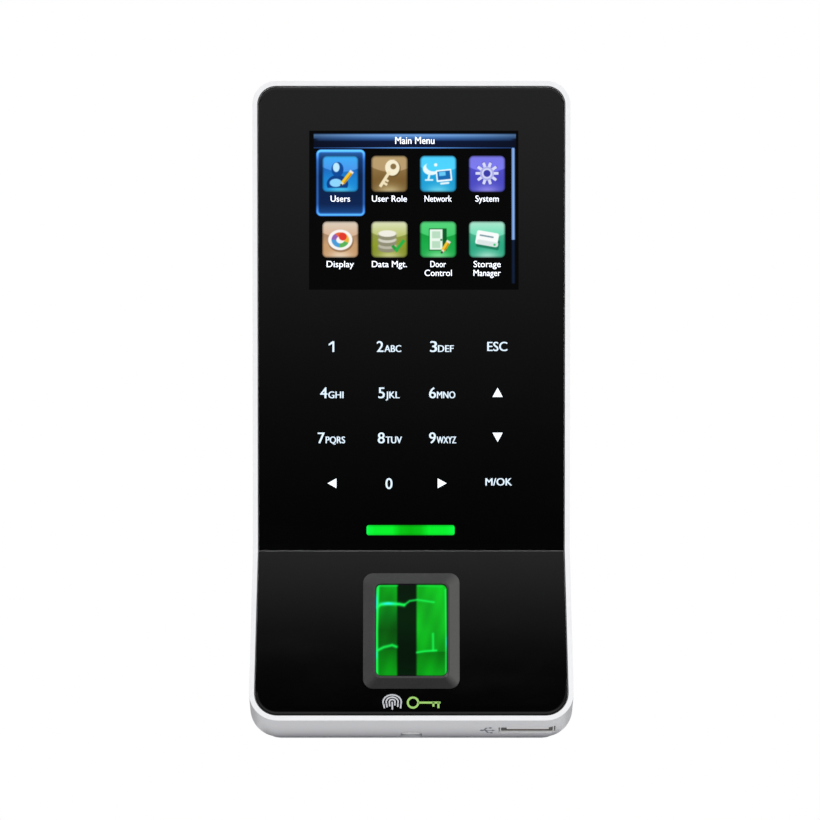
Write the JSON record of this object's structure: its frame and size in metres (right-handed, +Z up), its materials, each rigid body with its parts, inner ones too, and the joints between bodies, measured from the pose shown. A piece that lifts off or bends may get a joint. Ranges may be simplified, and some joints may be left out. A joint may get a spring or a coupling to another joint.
{
  "type": "fingerprint scanner terminal",
  "caption": "Slim wall-mounted access terminal with a display, touch keypad and fingerprint window on a tilted lower panel, hung on a steel wall plate.",
  "frame": {"origin": "middle of the wall plate's back face, which lies on the wall", "axes": "+Z up, the front faces -Y, +X to the right as seen from the front"},
  "size_m": [0.078, 0.0195, 0.159],
  "materials": {
    "white_housing": "satin white moulded plastic",
    "dark_cover": "fine spark texture",
    "plate_steel": "zinc plated sheet",
    "screw_steel": "bright zinc",
    "black_glass": "high gloss, black printed behind",
    "status_glow": "clear light guide lit green",
    "label_paper": "matt coated label stock",
    "lcd_module": "dark display cell in a metal frame",
    "black_plastic": "moulded, matt",
    "flex_film": "amber polyimide film",
    "diffuser": "milky light film",
    "circuit_board": "green solder mask",
    "ivory_plastic": "moulded nylon",
    "bezel_plastic": "fine spark texture, dark grey",
    "gasket_rubber": "matt",
    "prism_glass": "polished optical block lit green",
    "mirror_glass": "silvered",
    "tin_can": "tin plated"
  },
  "bodies": {
    "wall_plate": {"wall_plate": "plate_steel"},
    "terminal": {"front_housing": "white_housing", "rear_cover": "dark_cover", "front_glass": "black_glass", "lower_fascia": "black_glass", "status_light_guide": "status_glow", "rating_label": "label_paper", "lcd_panel": "lcd_module", "lcd_tray": "black_plastic", "lcd_flex": "flex_film", "keypad_light_film": "diffuser", "keypad_board": "circuit_board", "keypad_flex": "flex_film", "card_antenna": "flex_film", "status_led_1": "ivory_plastic", "status_led_2": "ivory_plastic", "status_led_3": "ivory_plastic", "sensor_bezel": "bezel_plastic", "sensor_gasket": "gasket_rubber", "sensor_prism": "prism_glass", "sensor_carrier": "black_plastic", "sensor_mirror": "mirror_glass", "sensor_lens": "black_plastic", "sensor_camera_board": "circuit_board", "sensor_led_board": "circuit_board", "sensor_flex": "flex_film", "main_board": "circuit_board", "processor_shield": "tin_can", "network_transformer": "black_plastic", "coin_cell_holder": "black_plastic", "coin_cell": "tin_can", "buzzer": "black_plastic", "relay": "ivory_plastic", "speaker": "black_plastic", "power_connector": "ivory_plastic", "lock_connector": "ivory_plastic", "reader_connector": "ivory_plastic", "network_connector": "ivory_plastic", "usb_board": "circuit_board", "usb_socket_shell": "tin_can", "usb_tongue": "ivory_plastic", "tamper_switch": "black_plastic", "tamper_spring": "screw_steel", "reset_switch": "tin_can", "case_screw_1": "screw_steel", "board_screw_1": "screw_steel", "case_screw_2": "screw_steel", "board_screw_2": "screw_steel", "case_screw_3": "screw_steel", "board_screw_3": "screw_steel", "case_screw_4": "screw_steel", "board_screw_4": "screw_steel"},
    "security_screw": {"security_screw": "screw_steel"},
    "tamper_plunger": {"tamper_plunger": "ivory_plastic"},
    "reset_button": {"reset_button": "black_plastic"}
  },
  "joints": [
    {"name": "terminal_swing", "type": "hinge", "parent": "wall_plate", "child": "terminal", "pos_m": [0, -0.0023, 0.0765], "axis": [-1, 0, 0], "range_deg": [0, 12]},
    {"name": "security_screw_turn", "type": "hinge", "parent": "wall_plate", "child": "security_screw", "pos_m": [0, -0.004, -0.07888], "axis": [0, 0, 1], "continuous": true},
    {"name": "tamper_plunger_press", "type": "slide", "parent": "terminal", "child": "tamper_plunger", "axis": [0, -1, 0], "range_m": [0, 0.0012], "stiffness_N_per_m": 150, "springref_m": -0.001, "deforming": ["tamper_spring"]},
    {"name": "reset_button_press", "type": "slide", "parent": "terminal", "child": "reset_button", "axis": [0, -1, 0], "range_m": [0, 0.0004], "stiffness_N_per_m": 400, "springref_m": -0.0002}
  ]
}
